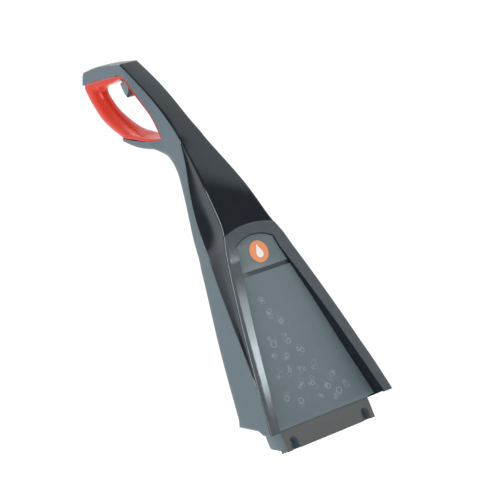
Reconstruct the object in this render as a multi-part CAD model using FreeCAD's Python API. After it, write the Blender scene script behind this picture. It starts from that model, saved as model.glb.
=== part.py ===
"""Upper handle assembly of an upright carpet cleaner.

Frame: +Z up along the handle, -Y the front with the decorated panel, +Y the rear with the
hand loop, X sideways. The origin is the centre of the tongue's front face, where the handle
plugs into the machine. All sizes are in millimetres.
"""
import FreeCAD, Part
import math
import os

from FreeCAD import Vector

# ---------------------------------------------------------------- driving dimensions
TONGUE_HALF_WIDTH = 82.0
TONGUE_HALF_HEIGHT = 15.0
TONGUE_DEPTH = 38.0
WALL = 3.0                  # moulded wall of the shells
PLATE = 2.5                 # panel, badge and cover plates
NECK_CAP = 4.6              # how far the front cover reaches down the sides of the upper neck
BODY_TOP = 601.3            # where the front cover ends under the loop's nose
COVER_HOLLOW_TOP = (118.3, 598.3)   # clear of the lever that presses the upper rod
RECESS_DEPTH = 2.5          # floor of the front recess behind the tongue's front plane
LEDGE_LOW = 232.0           # top of the decorated panel
LEDGE_HIGH = 238.0          # bottom of the badge plate
BADGE_SHOULDER = 276.0
BADGE_CROWN = 287.0
CROWN_R = 62.0              # radius of the arch over the badge
EMBLEM_Z = 261.0
EMBLEM_R = 16.0
PANEL_GAP = 0.3
GRIP_HALF = 16.0            # half thickness of the loop at its front arm
TAPER_START_Y = 121.0       # the crease behind the loop's front arm
TAPER_LOW_Z = 440.0
LOOP_TAPER_DEG = 2.3        # how far each side of the loop leans in towards the rear
CORE_HALF = 7.0             # half thickness of the carrier inside the soft grip
SCREW_SPACING = 134.0       # between the two fixing screws in the tongue
SCREW_HEIGHT = -5.0
SCREW_HOLE_R = 2.4
RIB_PLACE = 40.0            # stiffening ribs inside the tongue, left and right
SLEEVE_R = 4.0
POST_END = 17.8             # where the front cover's posts meet the shell's bosses
NOTCH_HALF = 7.0
NOTCH_RIM = 2.5
NOTCH_CROWN = 3.0           # height of the notch's arch above the tongue's mid line
NOTCH_FLOOR = 12.0          # how deep the notch goes before the screw seat
SEAT_DEPTH = 12.0
FIT = 0.05                  # radial clearance of a running fit
GAP = 0.3                   # clearance between neighbouring moving pieces

# Side view, as (y, z): front line, parting line, rear line and loop.
FRONT_FOOT = (-21.0, 13.6)
FRONT_KNEE = (-2.5, 255.0)
FRONT_NECK = [(-1.0, 295.0), (6.5, 342.0), (21.0, 393.0), (39.8, 445.0), (62.5, 504.0),
              (95.0, 566.0), (117.6, BODY_TOP)]
PARTING = [(-15.0, 70.0), (-5.0, 121.0), (18.0, 201.0), (40.0, 275.0), (52.0, 336.0),
           (50.0, 390.0), (45.5, 425.0), (46.5, 456.0)]
SHOULDER = [(52.0, 41.0), (39.0, 36.7), (8.0, 26.0), (-2.0, 18.0)]
BACK = [(52.0, 41.0), (55.0, 95.0), (62.0, 185.0), (68.0, 250.0), (76.0, 310.0),
        (77.0, 360.0), (81.0, 400.0), (93.0, 436.0), (119.0, 465.0)]
REAR_ARC = [(119.0, 465.0), (156.0, 480.5), (197.5, 511.0), (231.5, 556.0), (242.0, 600.0)]
LOOP_CORNER = [(242.0, 600.0), (241.0, 614.0), (235.0, 624.5), (225.5, 629.2)]
LOOP_TOP = [(225.5, 629.2), (196.0, 625.0), (164.0, 617.8), (117.6, BODY_TOP)]
OPENING_FRONT = [(92.0, 473.0), (99.0, 510.0), (110.0, 537.0), (125.0, 574.0)]
OPENING_NOSE = [(125.0, 574.0), (128.0, 580.5), (135.0, 583.0)]
OPENING_TOP = [(135.0, 583.0), (163.0, 587.0), (195.0, 592.3)]
OPENING_CORNER = [(195.0, 592.3), (201.3, 590.3), (202.5, 583.5)]
OPENING_REAR = [(202.5, 583.5), (194.0, 557.0), (166.5, 519.5), (131.0, 489.5), (92.0, 473.0)]

# Front view, as (half width, z).
FRAME_SIDE = [(115.0, 10.0), (101.5, 80.0), (86.5, 150.0), (66.5, 232.0), (52.5, 281.0)]
NECK_SIDE = [(52.5, 281.0), (44.5, 303.0), (38.5, 342.0), (30.5, 393.0), (21.5, 448.0),
             (17.2, 485.0), (16.4, 535.0), (14.0, 640.0)]
SHELL_NECK_SIDE = [(52.5, 281.0), (48.5, 303.0), (42.0, 342.0), (32.5, 393.0), (22.5, 448.0),
                   (17.5, 485.0), (16.4, 535.0), (14.0, 640.0)]
RECESS_SIDE = [(97.5, 15.0), (44.5, 235.0), (37.0, 262.0), (34.0, BADGE_SHOULDER)]

# Spray linkage, in the middle plane x = 0. The lever meets the upper rod square on.
ROD_LEAN = math.radians(24.5)   # how far the upper rod leans back from vertical
LEVER_ARM = 22.0
LEVER_END = (121.0, 594.5)
LEVER_TIP_R = 3.0
PIVOT = (LEVER_END[0] + LEVER_ARM * math.cos(ROD_LEAN),
         LEVER_END[1] - LEVER_ARM * math.sin(ROD_LEAN))
HUB_R = 6.0
HUB_HALF = 4.5
PADDLE_HALF = 7.0           # half width of the trigger's finger blade
PIN_R = 2.5
PIN_HALF = 12.0
ROD_R = 2.5
ROD_END_Z = 388.8
LOWER_ROD_Y = 28.5
LOWER_ROD_R = 3.0
LOWER_ROD_HEAD_R = 5.2
LOWER_ROD_HEAD_Z = 388.0
LOWER_ROD_END_Z = -2.0
GUIDE_LOW_Z = 18.0
GUIDE_HIGH_Z = 318.0
GUIDE_THICK = 6.0
COLLAR_Z = 62.0
SPRING_WIRE_R = 0.6

REACH = 300.0               # longer than any tool solid needs to be


# ---------------------------------------------------------------- helpers
def side_point(pair, x=0.0):
    return Vector(x, pair[0], pair[1])


def front_point(half_width, z, side=1.0):
    return Vector(side * half_width, 0, z)


def spline(points):
    curve = Part.BSplineCurve()
    curve.interpolate(points)
    return curve.toShape()


def side_spline(pairs, shift=0.0):
    return spline([Vector(0, y + shift, z) for y, z in pairs])


def side_line(a, b):
    return Part.makeLine(side_point(a), side_point(b))


def side_solid(edges, x_low, x_high):
    """Extrude a closed side-view outline between two X positions."""
    face = Part.Face(Part.Wire(Part.__sortEdges__(edges)))
    face.translate(Vector(x_low, 0, 0))
    return face.extrude(Vector(x_high - x_low, 0, 0))


def side_polygon(pairs, x_low, x_high):
    wire = Part.makePolygon([side_point(p) for p in pairs] + [side_point(pairs[0])])
    face = Part.Face(wire)
    face.translate(Vector(x_low, 0, 0))
    return face.extrude(Vector(x_high - x_low, 0, 0))


def front_polygon(pairs, y_low, y_high):
    """Extrude a polygon of (x, z) points between two Y positions."""
    points = [Vector(x, y_low, z) for x, z in pairs]
    face = Part.Face(Part.makePolygon(points + [points[0]]))
    return face.extrude(Vector(0, y_high - y_low, 0))


def silhouette(neck_side, inset=0.0):
    """The front-view silhouette, as a block right through the object."""
    edges = []
    for side in (-1.0, 1.0):
        for run in (FRAME_SIDE, neck_side):
            edges.append(spline([front_point(w - inset, z, side) for w, z in run]))
    for half_width, z in (FRAME_SIDE[0], neck_side[-1]):
        reach = half_width - inset
        edges.append(Part.makeLine(front_point(reach, z, -1), front_point(reach, z)))
    face = Part.Face(Part.Wire(Part.__sortEdges__(edges)))
    face.translate(Vector(0, -REACH, 0))
    return face.extrude(Vector(0, 2 * REACH, 0))


def box(x_low, x_high, y_low, y_high, z_low, z_high):
    return Part.makeBox(x_high - x_low, y_high - y_low, z_high - z_low, Vector(x_low, y_low, z_low))


def cylinder(radius, length, start, direction):
    return Part.makeCylinder(radius, length, start, direction)


def save(name, shape):
    """Write one sub-part and report what it is."""
    shape = shape.removeSplitter()
    solids = shape.Solids
    if len(solids) == 1:
        shape = solids[0]
    else:
        shape = Part.makeCompound(solids)
    shape.exportStep(os.path.join("parts", name + ".step"))
    print("%-20s solids %d  volume %.2f cm3  valid %s" % (name, len(solids), shape.Volume / 1000.0,
                                                        shape.isValid()))


# ---------------------------------------------------------------- common outlines
def front_edges(shift=0.0):
    foot = (FRONT_FOOT[0] + shift, FRONT_FOOT[1])
    knee = (FRONT_KNEE[0] + shift, FRONT_KNEE[1])
    return [side_line(foot, knee), side_spline([FRONT_KNEE] + FRONT_NECK, shift)]


def opening_block(half):
    edges = [side_spline(run) for run in (OPENING_FRONT, OPENING_NOSE, OPENING_TOP,
                                          OPENING_CORNER, OPENING_REAR)]
    return side_solid(edges, -half, half)


def body_block():
    """Everything inside the side-view outline, loop included, as a wide block."""
    edges = front_edges()
    edges += [side_spline(run) for run in (LOOP_TOP, LOOP_CORNER, REAR_ARC, BACK)]
    corners = SHOULDER + [FRONT_FOOT]
    edges += [side_line(a, b) for a, b in zip(corners, corners[1:])]
    return side_solid(edges, -REACH, REACH)


def narrowed_loop(outer):
    """Lean the loop's sides in towards the rear, from the crease behind the front arm."""
    rear = box(-REACH, REACH, TAPER_START_Y, REACH, TAPER_LOW_Z, BODY_TOP + 50.0)
    sides = silhouette(SHELL_NECK_SIDE)
    for side in (-1.0, 1.0):
        leaning = sides.copy()
        crease = Vector(side * GRIP_HALF, TAPER_START_Y, 0)
        leaning.rotate(crease, Vector(0, 0, 1), side * LOOP_TAPER_DEG)
        outer = outer.cut(rear.cut(leaning))
    return outer


def cover_block():
    """The zone in front of the parting line."""
    rear_foot = (FRONT_FOOT[0] + PLATE, FRONT_FOOT[1] + 0.5)
    neck_rear = [(y + NECK_CAP, z) for y, z in FRONT_NECK if z > PARTING[-1][1]]
    edges = front_edges()
    edges.append(side_line(FRONT_FOOT, rear_foot))
    edges.append(side_spline([rear_foot] + PARTING))
    edges.append(side_spline([PARTING[-1]] + neck_rear))
    edges.append(side_line(FRONT_NECK[-1], neck_rear[-1]))
    return side_solid(edges, -REACH, REACH)


def red_zone():
    """Side-view region that the soft grip covers, before the opening is cut."""
    return [side_spline([(236.0, 640.0), (248.0, 560.0), (228.5, 546.0)]),
            side_spline([(228.5, 546.0), (216.0, 535.0), (204.3, 522.5), (191.4, 510.3),
                         (162.0, 494.2), (130.0, 481.0), (89.0, 470.0)]),
            side_spline([(89.0, 470.0), (96.3, 510.0), (107.0, 538.0), (122.0, 577.0)]),
            side_spline([(122.0, 577.0), (128.0, 585.5), (149.0, 593.0), (190.0, 603.6),
                         (231.0, 612.8)]),
            side_line((231.0, 612.8), (250.0, 615.0)),
            side_line((250.0, 615.0), (236.0, 640.0))]


# ---------------------------------------------------------------- shells
def tongue_block(inset=0.0):
    rear = TONGUE_DEPTH - inset
    low = -TONGUE_HALF_HEIGHT - (1.0 if inset else 0.0)
    bevel = 10.0 if not inset else 1.0
    outline = [(PLATE, low), (rear - 6.0, low + bevel), (rear, 1.0), (rear, 45.0), (PLATE, 45.0)]
    return side_polygon(outline, -TONGUE_HALF_WIDTH + inset, TONGUE_HALF_WIDTH - inset)


def notch_solid(x_middle, grow, y_low, y_high):
    """A U shape, open below, around one fixing screw."""
    half = NOTCH_HALF + grow
    crown_z = NOTCH_CROWN - NOTCH_HALF
    legs = box(x_middle - half, x_middle + half, y_low, y_high, -TONGUE_HALF_HEIGHT, crown_z)
    crown = cylinder(half, y_high - y_low, Vector(x_middle, y_low, crown_z), Vector(0, 1, 0))
    return legs.fuse(crown).removeSplitter()


def notch_places():
    return (-SCREW_SPACING / 2, SCREW_SPACING / 2)


def hollow_outline(front_y):
    """Side view of the room inside the body and the front arm, open towards the front."""
    floor = [(front_y, 17.2), (-2.5, 21.5), (6.5, 29.5), (38.0, 40.3), (48.5, 44.5)]
    back = [(52.0, 95.0), (59.0, 185.0), (65.0, 250.0), (72.5, 310.0), (73.5, 360.0), (74.0, 400.0),
            (77.0, 445.0), (87.0, 490.0), (98.0, 522.0), (108.0, 550.0), (118.0, 577.0)]
    nose = [(124.0, 590.0), (127.0, 600.0), (120.0, 599.0), (front_y, 560.0)]
    return floor + back + nose


def recess_block(depth, grow=0.0):
    """The recess for the panel and the badge, from in front of the rails to its floor."""
    side = [(w + grow, z) for w, z in RECESS_SIDE]
    outline = [(-w, z) for w, z in side] + [(w, z) for w, z in reversed(side)]
    crown_half = RECESS_SIDE[-1][0] + grow
    crown_centre = Vector(0, depth - REACH, BADGE_CROWN + 1.0 + grow - CROWN_R)
    crown = cylinder(CROWN_R, REACH, crown_centre, Vector(0, 1, 0))
    top = box(-crown_half, crown_half, depth - REACH, depth, BADGE_SHOULDER - 1.0, BADGE_CROWN + 9.0)
    lower = front_polygon(outline, depth - REACH, depth)
    mouth_half = RECESS_SIDE[0][0] + grow
    mouth = box(-mouth_half, mouth_half, depth - REACH, depth, 0.0, 15.5)
    return lower.fuse([top.common(crown), mouth])


def screw_places():
    """Centres (x, z) of the screws that hold the front cover, from low to high."""
    return [(sx * x, z) for x, z in ((88.0, 70.0), (50.0, 215.0), (30.0, 345.0)) for sx in (-1, 1)]


def back_y(z):
    """Rear surface at a height, by straight runs between the outline's points."""
    for (y0, z0), (y1, z1) in zip(BACK, BACK[1:]):
        if z0 <= z <= z1:
            return y0 + (y1 - y0) * (z - z0) / (z1 - z0)
    raise ValueError("height outside the back line")


def head_seat_y(z):
    """Where a cover screw's head seats, down a short well in the back."""
    return back_y(z) - 9.0


def trigger_room():
    """Space in the nose of the loop for the trigger's hub, lever and return spring."""
    outline = [(108.0, 575.0), (112.0, 594.0), (118.0, 599.0), (128.0, 603.0), (146.0, 603.0),
               (151.0, 598.0), (152.0, 570.0)]
    return side_polygon(outline, -HUB_HALF - 0.7, 11.0)


def side_cover_outline():
    return [(72.0, 500.0), (101.0, 556.0), (119.0, 588.0), (136.0, 601.0), (158.0, 610.0),
            (157.0, 600.0), (135.0, 592.0), (121.0, 582.0), (105.0, 543.0), (88.0, 500.0)]


def side_cover_block():
    return side_polygon(side_cover_outline(), 12.0, REACH)


def side_screw_places():
    """Centres (y, z) of the screws in the loop's side cover."""
    return [(86.0, 515.0), (108.0, 562.0), (150.0, 603.5)]


def pin_cutter(radius, half_length):
    return cylinder(radius, 2 * half_length, side_point(PIVOT, -half_length), Vector(1, 0, 0))


def rear_shell(outer, grip_zone):
    shell = outer.cut(cover_block()).cut(grip_zone)
    hollow = side_polygon(hollow_outline(-60.0), -REACH, REACH)
    shell = shell.cut(hollow.common(silhouette(SHELL_NECK_SIDE, WALL))).fuse(tongue_block())
    shell = shell.cut(tongue_block(WALL)).cut(recess_block(RECESS_DEPTH + PLATE + 0.1, WALL + 0.2))
    along = Vector(0, 1, 0)
    pieces = []
    for x in notch_places():
        rim = notch_solid(x, NOTCH_RIM, PLATE, NOTCH_FLOOR + SEAT_DEPTH)
        pieces.append(rim.cut(notch_solid(x, 0.0, PLATE, NOTCH_FLOOR)))
    for x, z in screw_places():
        boss_length = back_y(z) - POST_END - 1.2
        pieces.append(cylinder(4.5, boss_length, Vector(x, POST_END + 0.2, z), along))
        outward = math.copysign(1.0, x)
        web = (outward * (SCREW_SPACING / 2 + NOTCH_HALF + 1.0), outward * (TONGUE_HALF_WIDTH - 1.0))
        pieces.append(box(min(web), max(web), 8.0, 12.0, -TONGUE_HALF_HEIGHT, -2.0))
    for x in (-RIB_PLACE, RIB_PLACE):
        pieces.append(box(x - 1.0, x + 1.0, 6.0, TONGUE_DEPTH - 2.0, -4.0, 30.0))
    shell = shell.fuse(pieces)
    for x in notch_places():
        sleeve_start = Vector(x, NOTCH_FLOOR - 1, SCREW_HEIGHT)
        shell = shell.cut(cylinder(SLEEVE_R, SEAT_DEPTH + 2, sleeve_start, along))
    for x, z in screw_places():
        shell = shell.cut(cylinder(1.7, 120.0, Vector(x, 0, z), along))
        shell = shell.cut(cylinder(3.6, 40.0, Vector(x, head_seat_y(z), z), along))
    shell = shell.cut([core_solid(), trigger_room(), side_cover_block(), trigger_pin()])
    for y, z in side_screw_places():
        shell = shell.cut(cylinder(1.0, 9.0, Vector(5.0, y, z), Vector(1, 0, 0)))
    return shell


def front_cover():
    zone = cover_block()
    outer = zone.common(silhouette(NECK_SIDE))
    inner_front = [(5.0, 0.0), (5.0, 262.0)] + [(y + WALL, z) for y, z in FRONT_NECK[:-1]]
    inner = inner_front + [COVER_HOLLOW_TOP, (REACH, COVER_HOLLOW_TOP[1]), (REACH, 0.0)]
    cover = outer.cut(side_polygon(inner, -REACH, REACH).common(silhouette(NECK_SIDE, WALL)))
    rail_room = side_polygon([(-17.0, 20.0), (0.0, 240.0), (6.0, 240.0), (6.0, 20.0)], -REACH, REACH)
    rail_room = rail_room.common(silhouette(NECK_SIDE, WALL)).cut(recess_block(REACH / 2, WALL))
    cover = cover.cut(rail_room)
    tray = recess_block(RECESS_DEPTH + PLATE, WALL).common(side_polygon(tray_outline(), -REACH, REACH))
    tongue_face = box(-TONGUE_HALF_WIDTH, TONGUE_HALF_WIDTH, 0, PLATE, -TONGUE_HALF_HEIGHT, 14.7)
    lap_half = TONGUE_HALF_WIDTH - WALL - GAP
    lap = box(-lap_half, lap_half, RECESS_DEPTH - 0.5, RECESS_DEPTH + PLATE, 6.0, 16.0)
    cover = cover.fuse([tray, tongue_face, lap]).cut(recess_block(RECESS_DEPTH))
    cover = cover.fuse(tongue_face)
    along = Vector(0, 1, 0)
    for x in notch_places():
        cover = cover.cut(notch_solid(x, 0.0, -1.0, PLATE + 4.0))
        cover = cover.cut(notch_solid(x, NOTCH_RIM + 0.2, PLATE, PLATE + 4.0))
    for x, z in screw_places():
        base = post_base_y(z)
        post = cylinder(4.0, POST_END - base, Vector(x, base, z), along)
        cover = cover.fuse(post).cut(cylinder(1.4, POST_END, Vector(x, base + 2.5, z), along))
    return cover


def post_base_y(z):
    """Where a screw post starts: on the recess floor, or on the neck's front wall."""
    return 4.0 if z < BADGE_CROWN else 9.0


def tray_outline():
    """Side view of the recess walls, from the rails' front line to the floor's back."""
    back = RECESS_DEPTH + PLATE
    return [(-20.6, 15.0), (FRONT_KNEE[0] - 0.1, 255.0), (-1.2, 291.0), (back, 291.0), (back, 15.0)]


# ---------------------------------------------------------------- front trim
def panel_insert():
    """Decorated plate between the rails; its foot steps up beside the tongue."""
    low_w, low_z = RECESS_SIDE[0]
    high_w, high_z = RECESS_SIDE[1]
    top_w = high_w + (low_w - high_w) * (high_z - LEDGE_LOW) / (high_z - low_z) - PANEL_GAP
    low_w -= PANEL_GAP
    step = TONGUE_HALF_WIDTH
    right = [(top_w, LEDGE_LOW), (low_w - 0.6, 18.0), (step + 3.0, 17.2), (step, 15.2)]
    left = [(-x, z) for x, z in reversed(right)]
    return front_polygon(right + left, 0.0, RECESS_DEPTH)


def badge_plate():
    """Plate above the panel, with an arched top."""
    side = [(40.6, LEDGE_HIGH), (36.6, 262.0), (33.6, BADGE_SHOULDER)]
    outline = [(-w, z) for w, z in side] + [(w, z) for w, z in reversed(side)]
    crown = cylinder(CROWN_R, 3.0, Vector(0, -0.5, BADGE_CROWN + 0.6 - CROWN_R), Vector(0, 1, 0))
    top = box(-33.6, 33.6, -0.5, RECESS_DEPTH, BADGE_SHOULDER, BADGE_CROWN + 2.0).common(crown)
    return front_polygon(outline, -0.5, RECESS_DEPTH).fuse(top)


def emblem_disc():
    return cylinder(EMBLEM_R, 0.7, Vector(0, -1.2, EMBLEM_Z), Vector(0, 1, 0))


def emblem_drop():
    """A plain droplet: a ball below, a point above."""
    radius = 6.0
    centre_z = EMBLEM_Z - 3.0
    tip_z = EMBLEM_Z + 11.0
    lean = math.acos(radius / (tip_z - centre_z))
    touch = (radius * math.sin(lean), centre_z + radius * math.cos(lean))
    low = (0.0, centre_z - radius)
    arc = Part.Arc(front_point(*touch), front_point(*low), front_point(touch[0], touch[1], -1)).toShape()
    flank_right = Part.makeLine(front_point(0, tip_z), front_point(*touch))
    flank_left = Part.makeLine(front_point(touch[0], touch[1], -1), front_point(0, tip_z))
    face = Part.Face(Part.Wire([flank_right, arc, flank_left]))
    face.translate(Vector(0, -1.7, 0))
    return face.extrude(Vector(0, 0.5, 0))


# ---------------------------------------------------------------- hand grip
def grip_solid(outer):
    """The soft grip's whole zone: the rear arc and a lip round the opening."""
    zone = side_solid(red_zone(), -REACH, REACH)
    return outer.common(zone)


def core_solid():
    """Rigid carrier inside the rear arc."""
    run = [side_spline([(212.0, 600.0), (212.5, 566.0), (190.5, 529.0), (152.0, 499.5)]),
           side_line((152.0, 499.5), (156.0, 488.0)),
           side_spline([(156.0, 488.0), (194.5, 517.0), (223.0, 560.0), (232.0, 600.0)]),
           side_line((232.0, 600.0), (212.0, 600.0))]
    return side_solid(run, -CORE_HALF, CORE_HALF)


# ---------------------------------------------------------------- spray trigger and linkage
def rod_direction():
    return Vector(0, -math.sin(ROD_LEAN), -math.cos(ROD_LEAN))


def rod_point(distance):
    return side_point(LEVER_END) + rod_direction() * distance


def trigger_body():
    hub = cylinder(HUB_R, 2 * HUB_HALF, side_point(PIVOT, -HUB_HALF), Vector(1, 0, 0))
    stem = side_polygon([(148.0, 584.0), (147.5, 579.0), (134.5, 579.0), (136.0, 584.0)],
                        -HUB_HALF, HUB_HALF)
    paddle = side_polygon([(148.0, 580.5), (147.0, 572.0), (145.5, 559.5), (141.5, 555.8),
                           (134.5, 556.2), (131.0, 559.5), (134.0, 577.0), (134.6, 580.5)],
                          -PADDLE_HALF, PADDLE_HALF)
    tip = cylinder(LEVER_TIP_R, 7.0, side_point(LEVER_END, -3.5), Vector(1, 0, 0))
    y0, z0 = LEVER_END
    y1, z1 = PIVOT
    arm = side_polygon([(y0 - 0.8, z0 - 2.2), (y0 + 0.8, z0 + 2.4), (y1 + 1.5, z1 + 5.0),
                        (y1 - 2.0, z1 - 5.0)], -3.5, 3.5)
    trigger = hub.fuse([stem, paddle, tip, arm])
    return trigger.cut([pin_cutter(PIN_R + FIT, 8.0), trigger_pad()])


def trigger_pad():
    """Soft facing on the trigger's front edge and toe."""
    outline = [(134.0, 577.0), (135.5, 569.5), (140.5, 566.5), (142.6, 561.5), (141.5, 555.8),
               (134.5, 555.2), (128.6, 556.8), (127.2, 560.0), (131.0, 575.5)]
    return side_polygon(outline, -PADDLE_HALF, PADDLE_HALF)


def trigger_pin():
    return pin_cutter(PIN_R, PIN_HALF)


def coil(radius, wire_r, pitch, turns, start, direction):
    """A round-wire helix that begins at start and advances along direction, one face for each turn."""
    helix = Part.makeLongHelix(pitch, pitch * turns, radius)
    circle = Part.Wire(Part.makeCircle(wire_r, Vector(radius, 0, 0), Vector(0, 1, 0)))
    spring = Part.Wire(helix.Edges).makePipeShell([circle], True, True)
    spring.Placement = FreeCAD.Placement(start, FreeCAD.Rotation(Vector(0, 0, 1), direction))
    return spring


def trigger_spring():
    """Torsion coil round the pin, beside the hub."""
    return coil(PIN_R + 1.5, SPRING_WIRE_R, 1.5, 3.0, side_point(PIVOT, HUB_HALF + 1.1), Vector(1, 0, 0))


def upper_rod():
    start = LEVER_TIP_R + GAP + 5.0
    length = (LEVER_END[1] - ROD_END_Z) / math.cos(ROD_LEAN) - start - 5.0
    return cylinder(ROD_R, length, rod_point(start), rod_direction())


def rod_head():
    """Cap on the upper rod that the lever presses."""
    return cylinder(4.0, 5.0, rod_point(LEVER_TIP_R + GAP), rod_direction())


def rod_foot():
    """Tapered cap on the upper rod's lower end."""
    reach = (LEVER_END[1] - ROD_END_Z) / math.cos(ROD_LEAN)
    barrel = cylinder(3.2, 3.0, rod_point(reach - 5.0), rod_direction())
    nose = Part.makeCone(3.2, 1.6, 2.4, rod_point(reach - 2.0), rod_direction())
    return barrel.fuse(nose)


def rod_guide(distance):
    """Block across the front arm that holds the upper rod in line."""
    block = cylinder(6.0, 8.0, rod_point(distance), rod_direction())
    wing = box(-12.0, 12.0, -6.0, 6.0, 0.0, 4.0)
    turn = FreeCAD.Rotation(Vector(0, 0, 1), rod_direction())
    wing.Placement = FreeCAD.Placement(rod_point(distance + 2.0), turn)
    bore = cylinder(ROD_R + FIT, 12.0, rod_point(distance - 2.0), rod_direction())
    return block.fuse(wing).cut(bore)


def lower_rod():
    up = Vector(0, 0, 1)
    neck_z = LOWER_ROD_HEAD_Z - 4.0
    rod = cylinder(LOWER_ROD_R, neck_z - LOWER_ROD_END_Z, Vector(0, LOWER_ROD_Y, LOWER_ROD_END_Z), up)
    head = cylinder(LOWER_ROD_HEAD_R, 4.0 - GAP, Vector(0, LOWER_ROD_Y, neck_z), up)
    return rod.fuse(head)


def ring(outer_r, inner_r, z_low, z_high):
    up = Vector(0, 0, 1)
    start = Vector(0, LOWER_ROD_Y, z_low)
    return cylinder(outer_r, z_high - z_low, start, up).cut(cylinder(inner_r, z_high - z_low, start, up))


def spring_collar():
    return ring(7.0, LOWER_ROD_R, COLLAR_Z, COLLAR_Z + 3.0)


def rod_spring():
    """Compression coil between the low guide and the collar."""
    base = GUIDE_LOW_Z + GUIDE_THICK + SPRING_WIRE_R
    room = COLLAR_Z - SPRING_WIRE_R - base
    turns = 9.0
    start = Vector(0, LOWER_ROD_Y, base)
    return coil(LOWER_ROD_R + 1.8, SPRING_WIRE_R, room / turns, turns, start, Vector(0, 0, 1))


def guide_low():
    plate = box(-18.0, 18.0, 6.0, TONGUE_DEPTH - WALL, GUIDE_LOW_Z, GUIDE_LOW_Z + GUIDE_THICK)
    bore = cylinder(LOWER_ROD_R + FIT, 20.0, Vector(0, LOWER_ROD_Y, GUIDE_LOW_Z - 5.0), Vector(0, 0, 1))
    return plate.cut(bore)


def guide_high():
    plate = box(-16.0, 16.0, 12.0, 72.5, GUIDE_HIGH_Z, GUIDE_HIGH_Z + GUIDE_THICK)
    bore = cylinder(LOWER_ROD_R + FIT, 20.0, Vector(0, LOWER_ROD_Y, GUIDE_HIGH_Z - 8.0), Vector(0, 0, 1))
    relief = box(-10.0, 10.0, 38.0, 62.0, GUIDE_HIGH_Z - 8.0, GUIDE_HIGH_Z + 12.0)
    return plate.cut(bore).cut(relief)


# ---------------------------------------------------------------- fasteners
def screw(head_r, head_h, shank_r, length, start, direction):
    """Pan-head screw: start is under the head, direction points down the shank."""
    shank = cylinder(shank_r, length, start, direction)
    head = cylinder(head_r, head_h, start - direction * head_h, direction)
    slot = cylinder(head_r * 0.4, head_h * 0.6, start - direction * (head_h + 0.01), direction)
    return shank.fuse(head).cut(slot)


def cover_screws():
    """Screws through the back into the front cover's posts."""
    screws = []
    for x, z in screw_places():
        seat_y = head_seat_y(z)
        length = seat_y - POST_END + 5.0
        screws.append(screw(3.2, 2.2, 1.4, length, Vector(x, seat_y, z), Vector(0, -1, 0)))
    return Part.makeCompound(screws)


def side_screws():
    inward = Vector(-1, 0, 0)
    return Part.makeCompound([screw(1.9, 1.1, 1.0, 7.5, Vector(13.2, y, z), inward)
                              for y, z in side_screw_places()])


def screw_sleeves():
    """Metal sleeves that line the two fixing holes in the tongue."""
    rings = []
    for x in notch_places():
        start = Vector(x, NOTCH_FLOOR, SCREW_HEIGHT)
        tube = cylinder(SLEEVE_R, SEAT_DEPTH, start, Vector(0, 1, 0))
        rings.append(tube.cut(cylinder(SCREW_HOLE_R, SEAT_DEPTH, start, Vector(0, 1, 0))))
    return Part.makeCompound(rings)


def side_cover(outer):
    plate = side_cover_block().common(outer)
    for y, z in side_screw_places():
        plate = plate.cut(cylinder(1.1, 10.0, Vector(10.0, y, z), Vector(1, 0, 0)))
        plate = plate.cut(cylinder(2.1, 10.0, Vector(13.2, y, z), Vector(1, 0, 0)))
    return plate


# ---------------------------------------------------------------- build
def main():
    os.makedirs("parts", exist_ok=True)
    outer = narrowed_loop(body_block().common(silhouette(SHELL_NECK_SIDE)).cut(opening_block(REACH)))
    grip = grip_solid(outer)
    save("rear_shell", rear_shell(outer, grip))
    save("front_cover", front_cover())
    save("panel_insert", panel_insert())
    save("badge_plate", badge_plate())
    save("emblem_disc", emblem_disc())
    save("emblem_drop", emblem_drop())
    save("grip_overmould", grip.cut([core_solid(), trigger_room(), trigger_pin()]))
    save("grip_core", core_solid())
    save("loop_side_cover", side_cover(outer))
    save("loop_side_screws", side_screws())
    save("cover_screws", cover_screws())
    save("tongue_sleeves", screw_sleeves())
    save("trigger", trigger_body())
    save("trigger_pad", trigger_pad())
    save("trigger_pin", trigger_pin())
    save("trigger_spring", trigger_spring())
    save("upper_rod", upper_rod())
    save("upper_rod_head", rod_head())
    save("upper_rod_foot", rod_foot())
    save("upper_guide_high", rod_guide(52.0))
    save("upper_guide_low", rod_guide(150.0))
    save("lower_rod", lower_rod())
    save("lower_rod_collar", spring_collar())
    save("lower_rod_spring", rod_spring())
    save("lower_guide_high", guide_high())
    save("lower_guide_low", guide_low())


main()
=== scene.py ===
"""Looks of an upright carpet cleaner's upper handle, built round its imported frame.

The frame is in metres, +Z up, -Y the front. Outlines below are in millimetres, as in the
design, and MM turns them into metres.
"""
import math
import random
from math import cos, pi, radians, sin

import bmesh
import bpy
import numpy as np
from mathutils import Matrix, Vector
from mathutils.geometry import delaunay_2d_cdt


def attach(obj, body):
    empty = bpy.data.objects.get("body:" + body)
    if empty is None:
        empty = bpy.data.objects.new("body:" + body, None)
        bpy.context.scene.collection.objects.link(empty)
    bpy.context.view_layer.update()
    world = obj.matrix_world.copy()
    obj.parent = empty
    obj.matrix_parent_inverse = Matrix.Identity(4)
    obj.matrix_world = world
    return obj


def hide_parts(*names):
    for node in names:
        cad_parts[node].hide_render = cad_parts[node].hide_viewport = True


norm = np.linalg.norm

MM = 0.001
TINY = 1e-9                 # keeps a division from meeting zero
BODY = "handle"             # the fixed body that most pieces ride on

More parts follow.
